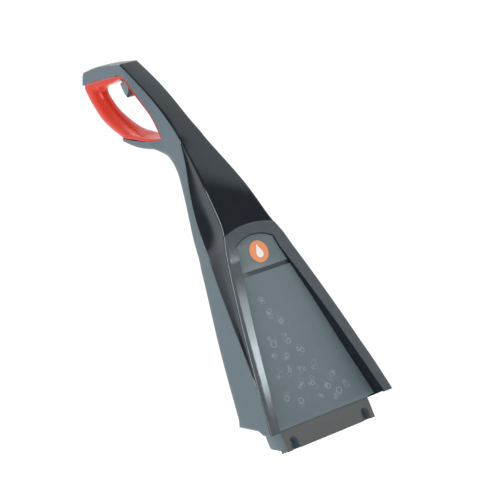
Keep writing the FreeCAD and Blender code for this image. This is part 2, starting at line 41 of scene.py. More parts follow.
# Side view, as (y, z). STEP is how closely an outline is followed.
STEP = 2.4
FRONT_LOW = [(-21, 13.6), (-2.5, 255)]
FRONT_NECK = [(-2.5, 255), (-1, 295), (6.5, 342), (21, 393), (39.8, 445), (62.5, 504),
              (95, 566), (117.4, 601)]
PARTING_LOW = [(-18.6, 14), (-15, 70), (-5, 121), (18, 201), (40, 275), (52, 336),
               (50, 390), (45.5, 425), (46.5, 456)]
NECK_CAP = 4.6              # how deep the dark cover is along the top of the neck
NECK_CAP_LOW = 2.7          # and where the hand loop begins
CAP_GROWS = (456, 496)      # heights between the two
SEAM_GAP = 0.12             # clearance between the dark cover and the slate shell behind it
SEAM_STEP = 2.2             # how far the front arm's slate side stands back from the dark cover
ARM_GROWS = (430, 490)      # heights over which that step grows
ARM_FADE = 32.0             # depth over which it runs out towards the loop's taper
SHOULDER = [(52, 41), (39, 36.7), (8, 26), (-2, 18)]
BACK = [(52, 41), (55, 95), (62, 185), (68, 250), (75.6, 310), (73.6, 360),
        (75.2, 400), (87.2, 436), (119, 465)]
BACK_SPLIT = 330.0          # below this height the back's edges are sharper
REAR_ARC = [(119, 465), (156, 480.5), (197.5, 511), (231.4, 556), (241.4, 600)]
RIM_END = 547.0             # height where the slate rim runs out along the rear of the loop
RIM_INSET = 0.63            # how far the grip stays inside that rim, each way
INSET_GROWS = (552, 544)
LOOP_CORNER = [(238.4, 612.4), (236.2, 618.6), (232, 624.6), (225.4, 628.8)]
LOOP_TOP = [(225.4, 628.8), (196, 624.6), (164, 617), (118.4, 601.2)]
LIP_TOP = [(234.8, 611.8), (190, 602.6), (150, 592.6), (130, 586), (123, 577.5)]
LIP_FRONT = [(123, 577.5), (107.5, 539), (97, 510), (91, 471.5)]
LIP_LOW = [(91, 471.5), (130, 481.5), (162, 494.6), (191.4, 510.6), (204.3, 522.8),
           (216, 535.2), (225.6, 546.4)]

# Front view, as (half width, z).
FRAME_SIDE = [(114.3, 12), (101.5, 80), (86.5, 150), (66.5, 232), (53.5, 279)]
COVER_SIDE = [(53.5, 279), (45, 301), (38.5, 342), (30.5, 393), (21.8, 447), (17.2, 485),
              (16.4, 535), (14, 640)]
SHELL_SIDE = [(53.5, 279), (49.5, 301), (42, 342), (32.5, 393), (22.6, 447), (17.6, 485),
              (16.6, 535), (14.4, 640)]
SHELL_SWELL = 1.7           # how far the shell stands out past the cover beside the frame
SWELL_GROWS = (36, 146)
SWELL_FADES = (266, 292)
RECESS_SIDE = [(97.5, 15), (44.5, 235), (37, 262), (34.4, 275)]
RECESS_CROWN = 287.5
RECESS_FLOOR = 2.5
RECESS_WALL = 3.0           # thickness of the dark tray round the recess
PANEL_GAP = 0.3             # between the panel and the recess wall
PLATE_BACK = 2.45           # rear face of the plates that lie on the recess floor
RECESS_DRAFT = 0.2          # how far the recess walls close in per mm of depth, above the foot
DRAFT_GROWS = (10, 120)     # heights over which they begin to
ARCH_CROWN = 303.0          # top of the matt frame above the badge
ARCH_DROP = 0.0038          # how fast that arch falls to the sides, per mm squared
EDGE_FLAT = 1.3             # narrow flat that breaks the cover's front edge
ARCH_STEP = 0.9             # height of the frame above the glossy neck
ARCH_BLEND = 0.9            # height over which that step is made
STEP_FADES = (430, 470)     # heights over which it dies away up the neck
NECK_GROWS = (292, 352)     # heights over which the neck's face becomes crowned
NECK_CROWN = 0.9            # how far that face falls back from its middle to its edges
SIDE_SCOOP = 0.03           # hollow of the cover's side, per mm of its depth past SCOOP_START
SCOOP_START = 6.0
FLARE_START = 0.42          # share of its depth where the cover's side starts out to meet the shell
FLARE_SPAN = 0.58
FLARE_POWER = 1.3
LEDGE_LOW = 232.0           # upper edge of the printed panel
LEDGE_HIGH = 238.0          # lower edge of the badge

LOOP_FOOT = 440.0           # height where the hand loop begins
TAPER_START = 121.0         # depth where its sides begin to lean in
LOOP_TAPER = 0.0402         # how far each side of the loop leans in, per mm of depth
TONGUE_HALF = 82.0
TONGUE_LOW = -15.0
TONGUE_REAR = 38.0
NOTCH_PLACES = (-67, 67)
NOTCH_HALF = 7.0
NOTCH_CROWN = 3.0
NOTCH_FLOOR = 12.0
TONGUE_PLATE = 2.5          # thickness of the tongue's dark face

# Screws (x, z) of the right half; they sit in wells in the back.
SCREWS = ((88, 70), (50, 215), (30, 345))
WELL_RADIUS = 3.6
WELL_LIP = 4.6
WELL_DEPTH = 9.0
SIDE_SCREWS = ((86, 515), (108, 562), (150, 603.5))
SIDE_COVER_X = 12.3         # inner face of the service cover on the loop's side

# Half widths of the trigger's blade, paddle and soft pad.
BLADE_HALF = 4.45
PADDLE_HALF = 6.9
PAD_HALF = 7.15

GRAIN_SCALE = 2600.0        # spark-eroded grain of the moulds, per metre
GRAIN_HEIGHT = 0.00005      # metres

# The surround: sines of elevation, and X and Z of the direction looked in.
DARK_SIDE = 0.18            # brightness towards the photographer
BEHIND = 0.25               # how soon it turns white behind the object
SKY_EDGE = 0.5              # elevation where the bright sky begins, at X = SKY_PIVOT
SKY_PIVOT = 0.6
SKY_SLANT = 0.9             # how much lower that edge comes further to the object's right
SKY_BLEND = 0.07
OVERHEAD = 0.74             # elevation above which it is white all round
OVERHEAD_BLEND = 0.05
SKY_POWER = 1.04
FLOOR_Z = -0.0155           # metres, just under the tongue

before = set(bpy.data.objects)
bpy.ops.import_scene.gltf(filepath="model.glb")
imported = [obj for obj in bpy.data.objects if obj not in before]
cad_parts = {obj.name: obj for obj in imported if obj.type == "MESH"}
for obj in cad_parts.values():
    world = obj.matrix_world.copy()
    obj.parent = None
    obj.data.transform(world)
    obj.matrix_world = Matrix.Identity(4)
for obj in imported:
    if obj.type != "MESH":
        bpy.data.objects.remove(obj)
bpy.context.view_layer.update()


# ---- curves
def smoothstep(t):
    """Rise smoothly from 0 to 1 as t does."""
    t = np.clip(t, 0.0, 1.0)
    return t * t * (3.0 - 2.0 * t)


def ease(value, start, end):
    """Rise smoothly from 0 at start to 1 at end."""
    return smoothstep((value - start) / (end - start))


def natural_spline(points):
    """A function of chord length through the points, and its total length."""
    p = np.array(points, float)
    t = np.concatenate([[0.0], np.cumsum(norm(np.diff(p, axis=0), axis=1))])
    n = len(p)
    h = np.diff(t)
    a = np.zeros((n, n))
    b = np.zeros((n, p.shape[1]))
    a[0, 0] = a[-1, -1] = 1.0
    for i in range(1, n - 1):
        a[i, i - 1], a[i, i], a[i, i + 1] = h[i - 1], 2 * (h[i - 1] + h[i]), h[i]
        b[i] = 6 * ((p[i + 1] - p[i]) / h[i] - (p[i] - p[i - 1]) / h[i - 1])
    m = np.linalg.solve(a, b)

    def at(s):
        s = np.atleast_1d(np.asarray(s, float))
        i = np.clip(np.searchsorted(t, s) - 1, 0, n - 2)
        u, v, w = (s - t[i])[:, None], (t[i + 1] - s)[:, None], h[i][:, None]
        cubic = (m[i] * v ** 3 + m[i + 1] * u ** 3) / (6 * w)
        return cubic + (p[i] / w - m[i] * w / 6) * v + (p[i + 1] / w - m[i + 1] * w / 6) * u

    return at, t[-1]


def sampled(points, step):
    """Points about a step apart along a smooth curve."""
    at, length = natural_spline(points)
    return at(np.linspace(0.0, length, max(2, int(round(length / step)) + 1)))


def by_height(*runs):
    """Turn runs of (value, z) into a function value(z)."""
    dense = np.vstack([sampled(run, 1.5) for run in runs])
    dense = dense[np.argsort(dense[:, 1], kind="stable")]
    return lambda z: np.interp(z, dense[:, 1], dense[:, 0])


front_y = by_height(FRONT_LOW, FRONT_NECK)
parting_low_y = by_height(PARTING_LOW)
cover_half = by_height(FRAME_SIDE, COVER_SIDE)
shell_line = by_height(FRAME_SIDE, SHELL_SIDE)
back_y = by_height(BACK[:6])    # as far up as the screws reach


def shell_half(z):
    """Half width of the slate shell: it swells a little past the cover beside the frame."""
    return shell_line(z) + SHELL_SWELL * ease(z, *SWELL_GROWS) * (1 - ease(z, *SWELL_FADES))


def parting_y(z):
    """Depth of the seam where the dark cover meets the slate shell."""
    low = parting_low_y(z)
    high = front_y(z) + NECK_CAP_LOW + (NECK_CAP - NECK_CAP_LOW) * ease(z, *CAP_GROWS)
    return np.where(np.asarray(z) < PARTING_LOW[-1][1], low, high)


def shell_width(y, z):
    """Half width of the slate shell; the loop narrows towards the rear behind a crease."""
    y, z = np.asarray(y, dtype=float), np.asarray(z, dtype=float)
    lean = LOOP_TAPER * np.maximum(0.0, y - TAPER_START) * (z > LOOP_FOOT)
    front_arm = ease(z, *ARM_GROWS) * np.clip((TAPER_START - y) / ARM_FADE, 0.0, 1.0)
    return shell_half(z) - lean - SEAM_STEP * front_arm


def arch_z(x):
    """Height of the seam between the matt frame and the glossy neck."""
    return ARCH_CROWN - ARCH_DROP * x * x


# ---- mesh helpers
def new_object(name, data):
    obj = bpy.data.objects.new(name, data)
    bpy.context.scene.collection.objects.link(obj)
    return obj


def mesh_object(name, vertices, faces, sharp_angle=32.0):
    """A piece from points in millimetres."""
    mesh = bpy.data.meshes.new(name)
    mesh.from_pydata([Vector(v) * MM for v in vertices], [], faces)
    mesh.validate()
    obj = new_object(name, mesh)
    tidy(obj, sharp_angle)
    return obj


def tidy(obj, sharp_angle=32.0):
    """Merge doubles, face outwards, and shade smooth between sharp edges."""
    merge = 0.00001
    bm = bmesh.new()
    bm.from_mesh(obj.data)
    bmesh.ops.remove_doubles(bm, verts=bm.verts, dist=merge)
    bmesh.ops.dissolve_degenerate(bm, dist=merge, edges=bm.edges)
    bmesh.ops.recalc_face_normals(bm, faces=bm.faces)
    bm.to_mesh(obj.data)
    bm.free()
    obj.data.polygons.foreach_set("use_smooth", [True] * len(obj.data.polygons))
    obj.data.set_sharp_from_angle(angle=radians(sharp_angle))


def apply_modifiers(obj):
    dg = bpy.context.evaluated_depsgraph_get()
    mesh = bpy.data.meshes.new_from_object(obj.evaluated_get(dg))
    obj.modifiers.clear()
    obj.data = mesh
    tidy(obj)


def cut(obj, *tools, operation="DIFFERENCE"):
    """Boolean the tools into a piece, and remove them."""
    for tool in tools:
        step = obj.modifiers.new("cut", "BOOLEAN")
        step.operation = operation
        step.solver = "EXACT"
        step.object = tool
        apply_modifiers(obj)
        bpy.data.objects.remove(tool)


def add_bevel(obj, width, segments, angle):
    step = obj.modifiers.new("edge", "BEVEL")
    step.width = width * MM
    step.segments = segments
    step.limit_method = "ANGLE"
    step.angle_limit = radians(angle)
    step.use_clamp_overlap = True


def bevel(obj, width, segments=3, angle=35.0):
    """Round the edges sharper than an angle, in the mesh itself."""
    add_bevel(obj, width, segments, angle)
    apply_modifiers(obj)


def grid_faces(rows, columns, close_rows=False):
    """Faces of a grid whose columns join up into rings."""
    faces = []
    for i in range(rows if close_rows else rows - 1):
        for j in range(columns):
            a, b = i * columns + j, i * columns + (j + 1) % columns
            c, d = ((i + 1) % rows) * columns + (j + 1) % columns, ((i + 1) % rows) * columns + j
            faces.append((a, b, c, d))
    return faces


def skin(name, rings, sharp_angle=32.0):
    """A piece through rings of points, closed at both ends."""
    columns = len(rings[0])
    vertices = [p for ring in rings for p in ring]
    faces = grid_faces(len(rings), columns)
    faces.append(tuple(range(columns)))
    faces.append(tuple(range(len(vertices) - 1, len(vertices) - columns - 1, -1)))
    return mesh_object(name, vertices, faces, sharp_angle)


def two_rims(name, vertices):
    """A solid from the points of one rim followed by those of the other."""
    count = len(vertices) // 2
    faces = [tuple(range(count)), tuple(range(2 * count - 1, count - 1, -1))]
    faces += [(i, (i + 1) % count, (i + 1) % count + count, i + count) for i in range(count)]
    return mesh_object(name, vertices, faces)


def prism(name, outline, place, low, high):
    """Extrude a closed outline; place(u, v, w) gives the point at w along the extrusion."""
    return two_rims(name, [place(u, v, w) for w in (low, high) for u, v in outline])


def front_prism(name, outline, y_low, y_high):
    return prism(name, outline, lambda x, z, y: (x, y, z), y_low, y_high)


def side_prism(name, outline, x_low, x_high):
    return prism(name, outline, lambda y, z, x: (x, y, z), x_low, x_high)


def block(name, x, y, z):
    """A box from three (low, high) pairs, used as a tool or as a rib."""
    return front_prism(name, [(x[0], z[0]), (x[1], z[0]), (x[1], z[1]), (x[0], z[1])], y[0], y[1])


def tube_tool(name, radius, start, end, sides=32):
    """A closed cylinder between two points."""
    a, b = Vector(start), Vector(end)
    turn = (b - a).to_track_quat("Z", "Y")
    rims = []
    for centre in (a, b):
        for k in range(sides):
            angle = 2 * pi * k / sides
            spoke = Vector((radius * cos(angle), radius * sin(angle), 0))
            rims.append(centre + turn @ spoke)
    return two_rims(name, rims)


def rounded(points, radii, steps=6):
    """Round the corners of a closed polygon with arcs of the given radii."""
    out = []
    count = len(points)
    for i in range(count):
        p = np.array(points[i], float)
        before = np.array(points[i - 1], float) - p
        after = np.array(points[(i + 1) % count], float) - p
        u, v = before / norm(before), after / norm(after)
        half = math.acos(np.clip(u @ v, -1, 1)) / 2
        room = 0.45 * min(norm(before), norm(after))
        reach = min(radii[i] / math.tan(half), room)
        r_real = reach * math.tan(half)
        centre = p + (u + v) / norm(u + v) * r_real / sin(half)
        a, b = p + u * reach - centre, p + v * reach - centre
        swing = math.acos(np.clip(a @ b / (r_real * r_real), -1, 1))
        for k in range(steps + 1):
            t = k / steps
            w = (sin((1 - t) * swing) * a + sin(t * swing) * b) / sin(swing)
            out.append(tuple(centre + w))
    return out


def dress(obj, material, slot, *nodes, body=BODY):
    """Give a piece its material and place on a body, and hide the CAD nodes it stands for."""
    obj.data.materials.clear()
    obj.data.materials.append(material)
    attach(obj, body)
    if nodes:
        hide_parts(*nodes)


# ---- materials
def new_material(name):
    material = bpy.data.materials.new(name)
    material.use_nodes = True
    tree = material.node_tree
    tree.nodes.clear()
    out = tree.nodes.new("ShaderNodeOutputMaterial")
    bsdf = tree.nodes.new("ShaderNodeBsdfPrincipled")
    tree.links.new(bsdf.outputs[0], out.inputs["Surface"])
    return material, tree, bsdf


def feed(tree, node, inputs):
    """Set or link a node's inputs, from a table of input name or number to value or socket."""
    for key, value in inputs.items():
        if isinstance(value, bpy.types.NodeSocket):
            tree.links.new(value, node.inputs[key])
        else:
            node.inputs[key].default_value = value


def math_node(tree, operation, a, b, clamp=False):
    node = tree.nodes.new("ShaderNodeMath")
    node.operation = operation
    node.use_clamp = clamp
    feed(tree, node, {0: a, 1: b})
    return node.outputs[0]


def times(tree, a, b):
    return math_node(tree, "MULTIPLY", a, b)


def scaled(tree, value, factor, offset):
    """value * factor + offset."""
    return math_node(tree, "ADD", times(tree, value, factor), offset)


def band(tree, value, start, width):
    """Rise evenly from 0 at start to 1 at start + width."""
    return math_node(tree, "DIVIDE", math_node(tree, "SUBTRACT", value, start), width, clamp=True)


def noise(tree, coords, scale, detail=2.0, rough=0.5):
    node = tree.nodes.new("ShaderNodeTexNoise")
    feed(tree, node, {"Scale": scale, "Detail": detail, "Roughness": rough, "Vector": coords})
    return node.outputs["Fac"]


def ramp(tree, value, stops):
    node = tree.nodes.new("ShaderNodeValToRGB")
    while len(node.color_ramp.elements) < len(stops):
        node.color_ramp.elements.new(0.5)
    for element, (place, colour) in zip(node.color_ramp.elements, stops):
        element.position = place
        element.color = (*colour, 1.0)
    tree.links.new(value, node.inputs[0])
    return node.outputs[0]


def coordinates(tree):
    return tree.nodes.new("ShaderNodeTexCoord").outputs["Object"]


def bump(tree, height, strength, distance, under=None):
    """Relief from a height, laid over another relief where one is given."""
    node = tree.nodes.new("ShaderNodeBump")
    feed(tree, node, {"Strength": strength, "Distance": distance, "Height": height})
    if under is not None:
        feed(tree, node, {"Normal": under})
    return node.outputs[0]


def shade(colour, factor):
    return tuple(min(1.0, c * factor) for c in colour)


def plastic(name, colour, rough, grain=0.25, spread=0.07):
    """Moulded plastic: fine spark-eroded grain, faint flow marks, and slightly uneven gloss."""
    material, tree, bsdf = new_material(name)
    coords = coordinates(tree)
    flow = noise(tree, coords, 14.0, 3.0, 0.55)
    mottle = noise(tree, coords, 90.0, 4.0, 0.6)
    mixed = scaled(tree, flow, 0.6, times(tree, mottle, 0.4))
    stops = [(0.3, shade(colour, 1 - spread)), (0.7, shade(colour, 1 + spread))]
    low, high = rough - 0.04, rough + 0.05
    pores = noise(tree, coords, GRAIN_SCALE)
    feed(tree, bsdf, {
        "Base Color": ramp(tree, mixed, stops),
        "Roughness": scaled(tree, mottle, high - low, low),
        "Normal": bump(tree, pores, grain, GRAIN_HEIGHT, bump(tree, flow, 0.05, 0.0006)),
        "Specular IOR Level": 0.5})
    return material


def metal(name, colour, rough):
    """Zinc-plated steel with turned marks."""
    material, tree, bsdf = new_material(name)
    coords = coordinates(tree)
    patches = noise(tree, coords, 160.0, 4.0, 0.6)
    marks = noise(tree, coords, 2400.0, 2.0, 0.6)
    feed(tree, bsdf, {
        "Base Color": ramp(tree, patches, [(0.3, shade(colour, 0.82)), (0.7, shade(colour, 1.08))]),
        "Roughness": scaled(tree, patches, 0.2, rough - 0.1),
        "Normal": bump(tree, marks, 0.2, 0.00004),
        "Metallic": 1.0})
    return material


def soft_rubber(name, colour, rough):
    """Thermoplastic rubber: satin, slightly uneven, with a soft sheen."""
    material, tree, bsdf = new_material(name)
    coords = coordinates(tree)
    broad = noise(tree, coords, 26.0, 3.0, 0.5)
    fine = noise(tree, coords, 3200.0, 2.0, 0.55)
    feed(tree, bsdf, {
        "Base Color": ramp(tree, broad, [(0.25, shade(colour, 0.93)), (0.75, shade(colour, 1.06))]),
        "Roughness": scaled(tree, broad, 0.08, rough - 0.04),
        "Normal": bump(tree, fine, 0.3, 0.00005),
        "Specular IOR Level": 0.35,
        "Sheen Weight": 0.08,
        "Sheen Roughness": 0.4})
    return material


def cover_material():
    """Polished near-black neck; below the arch the same moulding is a satin grey frame."""
    material, tree, bsdf = new_material("cover_black_and_frame")
    coords = coordinates(tree)
    split = tree.nodes.new("ShaderNodeSeparateXYZ")
    tree.links.new(coords, split.inputs[0])
    x, y, z = split.outputs["X"], split.outputs["Y"], split.outputs["Z"]
    facing = tree.nodes.new("ShaderNodeSeparateXYZ")
    tree.links.new(tree.nodes.new("ShaderNodeTexCoord").outputs["Normal"], facing.inputs[0])

    # Polished: above the arch, on the sides, and behind the front face.
    arch = scaled(tree, times(tree, x, x), ARCH_DROP / MM, z)
    above = band(tree, arch, (ARCH_CROWN - 0.2) * MM, 0.4 * MM)
    turned = band(tree, facing.outputs["Y"], -0.9, 0.2)
    deep = band(tree, y, 1.6 * MM, 0.3 * MM)
    mask = math_node(tree, "MAXIMUM", math_node(tree, "MAXIMUM", above, turned), deep)
    matt = math_node(tree, "SUBTRACT", 1.0, mask)

    mottle = noise(tree, coords, 70.0, 3.0, 0.55)
    frame_colour = ramp(tree, mottle, [(0.3, (0.086, 0.098, 0.11)), (0.7, (0.106, 0.118, 0.13))])
    gloss_colour = ramp(tree, mottle, [(0.3, (0.0105, 0.0135, 0.019)), (0.7, (0.0125, 0.016, 0.0215))])
    mix = tree.nodes.new("ShaderNodeMix")
    mix.data_type = "RGBA"
    feed(tree, mix, {"Factor": mask, 6: frame_colour, 7: gloss_colour})

    # The frame is a little rougher, and what lies behind its face, below the arch, is dull.
    rough = scaled(tree, matt, 0.06, 0.05)
    smear = times(tree, noise(tree, coords, 38.0, 4.0, 0.65), 0.05)
    below = math_node(tree, "DIVIDE", math_node(tree, "SUBTRACT", 0.292, z), 0.004, clamp=True)
    dull = times(tree, times(tree, deep, below), 0.3)
    rough = math_node(tree, "ADD", math_node(tree, "ADD", rough, smear), dull)

    # Only the frame is grained; the gloss keeps a faint flow.
    wave = bump(tree, noise(tree, coords, 30.0, 1.0, 0.4), 0.03, 0.0004)
    grain = times(tree, noise(tree, coords, GRAIN_SCALE), matt)

    # High on the neck the thin sides beside the seam lose their shine and coat: painted shade,
    # standing in for the dark shadow line along the seam.
    high = band(tree, z, 0.43, 0.05)
    side = band(tree, facing.outputs["Y"], -0.5, 0.2)
    shine_outside_painted_shade = math_node(tree, "SUBTRACT", 1.0, times(tree, high, side))
    feed(tree, bsdf, {
        "Base Color": mix.outputs[2],
        "Roughness": rough,
        "Normal": bump(tree, grain, 0.3, GRAIN_HEIGHT, wave),
        "Coat Weight": times(tree, times(tree, mask, 0.15), shine_outside_painted_shade),
        "Coat Roughness": 0.04,
        "Specular IOR Level": scaled(tree, shine_outside_painted_shade, 0.42, 0.08),
        "Specular Tint": (0.8, 0.94, 1.0, 1.0)})
    return material


SLATE = plastic("slate_shell", (0.107, 0.149, 0.176), 0.38)
SLATE_PANEL = plastic("slate_panel", (0.122, 0.166, 0.189), 0.5, grain=0.3)
LEVER = plastic("lever_grey", (0.16, 0.245, 0.27), 0.36, grain=0.2)
BADGE = plastic("badge_satin", (0.118, 0.158, 0.172), 0.38, grain=0.15)
COVER = cover_material()
TONGUE_FACE = plastic("tongue_face_grey", (0.1, 0.108, 0.108), 0.5, grain=0.3)
INNER_BLACK = plastic("inner_black", (0.03, 0.03, 0.032), 0.45)
RED = soft_rubber("red_grip", (0.66, 0.03, 0.011), 0.3)
# A soft pad on the trigger; its near-black colour is also painted shade for the trigger's shaded front
# face and toe.
PAD_PAINTED_SHADE = soft_rubber("dark_pad_painted_shade", (0.024, 0.026, 0.034), 0.45)
ORANGE = plastic("orange_print", (0.84, 0.27, 0.09), 0.4, grain=0.1, spread=0.03)
WHITE = plastic("white_print", (0.86, 0.86, 0.85), 0.45, grain=0.1, spread=0.02)
BUBBLE = plastic("bubble_print", (0.36, 0.41, 0.435), 0.45, grain=0.1, spread=0.25)
BUBBLE_FAINT = plastic("bubble_print_faint", (0.19, 0.243, 0.27), 0.45, grain=0.1, spread=0.12)
STEEL = metal("zinc_steel", (0.6, 0.6, 0.61), 0.34)
WARM_STEEL = metal("spring_steel", (0.42, 0.41, 0.4), 0.3)


# ---- slate shell
def smooth_loop(values, reach):
    """Average each value with its neighbours round the loop."""
    total = np.zeros(len(values))
    for k in range(-reach, reach + 1):
        total += np.roll(values, k)
    return total / (2 * reach + 1)


def even_loop(runs, step):
    """Join sampled runs of ((y, z) points, edge radius) into one loop without repeats."""
    points, radii = [], []
    for run, radius in runs:
        for p in run:
            if not points or norm(np.array(p) - points[-1]) > step * 0.35:
                points.append(np.array(p, float))
                radii.append(radius)
    if norm(points[0] - points[-1]) < step * 0.35:
        points.pop()
        radii.pop()
    return np.array(points), np.array(radii)


def unit_rows(rows):
    return rows / np.maximum(norm(rows, axis=1), TINY)[:, None]


def inward_normals(loop):
    """Unit normals to the right of a clockwise loop of (y, z) points."""
    ahead = unit_rows(np.roll(loop, -1, axis=0) - loop)
    behind = unit_rows(loop - np.roll(loop, 1, axis=0))
    tangent = unit_rows(ahead + behind)
    return np.stack([tangent[:, 1], -tangent[:, 0]], axis=1)


def room_inside(loop, normals):
    """For each point, how far it is to the opposite side of the loop."""
    count = len(loop)
    out = np.full(count, 1000.0)
    for i in range(count):
        d = loop - loop[i]
        length = norm(d, axis=1)
        facing = (d @ normals[i]) / np.maximum(length, TINY)
        ok = (length > 1e-6) & (facing > 0.75)
        if ok.any():
            out[i] = length[ok].min()
    return out


def slab(name, runs, half, step=STEP, grid=5.0, rings=6):
    """A block from a clockwise side outline: as wide as half(y, z), with rounded edges."""
    loop, radii = even_loop(runs, step)
    normals = inward_normals(loop)
    limit = 0.4 * room_inside(loop, normals)
    radii = smooth_loop(np.minimum(radii, limit), 2)
    radii = np.minimum(radii, limit)
    count = len(loop)
    vertices, faces = [], []
    offsets = []
    for k in range(rings + 1):
        phi = 0.5 * pi * k / rings
        ring = loop + normals * (radii * (1 - cos(phi)))[:, None]
        offsets.append((ring, radii * (1 - sin(phi))))
    for side in (1, -1):
        for ring, drop in offsets:
            x = side * (half(ring[:, 0], ring[:, 1]) - drop)
            vertices += [(x[i], ring[i, 0], ring[i, 1]) for i in range(count)]
    per_side = (rings + 1) * count
    for s in (0, 1):
        for k in range(rings):
            for i in range(count):
                a = s * per_side + k * count + i
                b = s * per_side + k * count + (i + 1) % count
                faces.append((a, b, b + count, a + count))
    for i in range(count):
        j = (i + 1) % count
        faces.append((i, j, per_side + j, per_side + i))
    inner = offsets[-1][0]
    fill = fill_points(inner, grid)
    flat = [Vector(p) for p in inner] + [Vector(p) for p in fill]
    points, _, triangles, _, _, _ = delaunay_2d_cdt(flat, [], [list(range(count))], 1, 1e-6)
    for side in (1, -1):
        base = len(vertices)
        vertices += [(side * float(half(p.x, p.y)), p.x, p.y) for p in points]
        faces += [tuple(base + i for i in t) for t in triangles]
    return mesh_object(name, vertices, faces)


def fill_points(loop, grid):
    """Grid points inside a loop, kept clear of its edge."""
    low, high = loop.min(axis=0), loop.max(axis=0)
    (y_a, z_a), (y_b, z_b) = loop.T, np.roll(loop, -1, axis=0).T
    climb = np.where(z_b == z_a, TINY, z_b - z_a)
    out = []
    for row, z in enumerate(np.arange(low[1] + grid / 2, high[1], grid)):
        for y in np.arange(low[0] + grid / 2 + (row % 2) * grid / 2, high[0], grid):
            crosses = (z_a > z) != (z_b > z)
            at = y_a + (z - z_a) * (y_b - y_a) / climb
            inside = np.count_nonzero(crosses & (at > y)) % 2 == 1
            if inside and np.hypot(y_a - y, z_a - z).min() > 0.55 * grid:
                out.append((y, z))
    return out


def shell_runs():
    """The slate shell's side outline, clockwise: runs of points, and the edge radius along each."""
    heights = np.concatenate([np.arange(14.2, LOOP_FOOT, STEP), np.arange(LOOP_FOOT, 600.4, 2.0)])
    parting = [(float(parting_y(z)) + SEAM_GAP, z) for z in heights]
    belly = [p for p in sampled(REAR_ARC, STEP) if p[1] < RIM_END]
    corner = sampled(LOOP_CORNER[::-1], 1.6)
    half_way = len(corner) // 2
    back = sampled(BACK, STEP)[::-1]
    return [
        (parting, 0.6),
        (sampled(LOOP_TOP, STEP)[::-1], 2.6),
        (corner[:half_way], 3.5),
        (corner[half_way:], 7.0),
        (sampled(LIP_TOP, STEP), 0.7),
        (sampled(LIP_FRONT, STEP), 0.7),
        (sampled(LIP_LOW, STEP), 0.7),
        (belly[::-1], 5.5),
        ([p for p in back if p[1] > BACK_SPLIT], 12.0),
        ([p for p in back if p[1] <= BACK_SPLIT], 9.0),
        (SHOULDER, 2.0),
        ([(-17.6, 14.05)], 0.8),
    ]


def recess_rim(step=3.0):
    """Half of the recess outline, as (x, z) from the foot up to the middle of the crown."""
    side = sampled(RECESS_SIDE, step)
    crown_r = 62.0
    start = math.asin(RECESS_SIDE[-1][0] / crown_r)
    corner_z = RECESS_CROWN - crown_r + crown_r * cos(start)
    arc = [(crown_r * sin(a), RECESS_CROWN - crown_r + crown_r * cos(a))
           for a in np.linspace(start, 0.0, 14)]
    points = [tuple(p) for p in side] + [(RECESS_SIDE[-1][0] + 0.2, corner_z - 2.0)] + arc
    return rounded_half(points, corner_at=len(side), radius=3.0)


def rounded_half(points, corner_at, radius):
    """Round the corners next to corner_at in an open run."""
    run = [np.array(p, float) for p in points]
    for _ in range(3):
        nxt = [run[0]]
        for a, b in zip(run, run[1:]):
            near = corner_at - 1 <= len(nxt) <= corner_at + 8
            if near and norm(b - a) > radius / 4:
                nxt += [a * 0.75 + b * 0.25, a * 0.25 + b * 0.75]
            else:
                nxt.append(b)
        run = nxt
    return [tuple(p) for p in run]


def draft_at(z):
    """How much the recess walls lean per millimetre of depth."""
    return RECESS_DRAFT * ease(z, *DRAFT_GROWS)


def recess_outline(extra, foot_z, y=None, below_front=None):
    """The recess as a closed (x, z) outline, grown by extra; at depth y or below the front face."""
    half = np.array(recess_rim())
    ring = np.vstack([half, (half * (-1, 1))[::-1][1:]])
    ahead = np.vstack([ring[1:], ring[-1:] + ring[-1:] - ring[-2:-1]])
    behind = np.vstack([ring[:1] + ring[:1] - ring[1:2], ring[:-1]])
    tangent = unit_rows(ahead - behind)
    outward = np.stack([tangent[:, 1], -tangent[:, 0]], axis=1)
    depth = below_front if y is None else y - front_y(ring[:, 1])
    shift = extra - draft_at(ring[:, 1]) * depth
    out = ring + outward * shift[:, None]
    out = out[out[:, 1] > foot_z + 0.5]
    first, last = out[0], out[-1]
    return [(first[0], foot_z)] + [tuple(p) for p in out] + [(last[0], foot_z)]


def between_outlines(name, low, high, y_low, y_high):
    """A solid between two outlines with the same number of points; each y may vary by point."""
    count = len(low)
    y_low = np.broadcast_to(y_low, count)
    y_high = np.broadcast_to(y_high, count)
    vertices = [(x, y_low[i], z) for i, (x, z) in enumerate(low)]
    vertices += [(x, y_high[i], z) for i, (x, z) in enumerate(high)]
    return two_rims(name, vertices)


def recess_tool(name, floor_y, extra=0.0):
    """What is cut away to make the recess, or with extra its outer wall."""
    foot_z, front = -2.0, -40.0
    shallow = recess_outline(extra, foot_z, y=front)
    deep = recess_outline(extra, foot_z, y=floor_y)
    return between_outlines(name, shallow, deep, front, floor_y)


def side_cover_outline(shrink):
    """The service cover on the loop's side, as (y, z)."""
    points = [(72, 500), (101, 556), (119, 588), (136, 601), (158, 610),
              (157, 600), (135, 592), (121, 582), (105, 543), (88, 500)]
    loop = np.array(rounded(points, [2.0, 20.0, 12.0, 20.0, 1.5, 1.5, 8.0, 12.0, 20.0, 2.0]))
    normals = inward_normals(loop)
    return [tuple(p) for p in loop + normals * shrink]


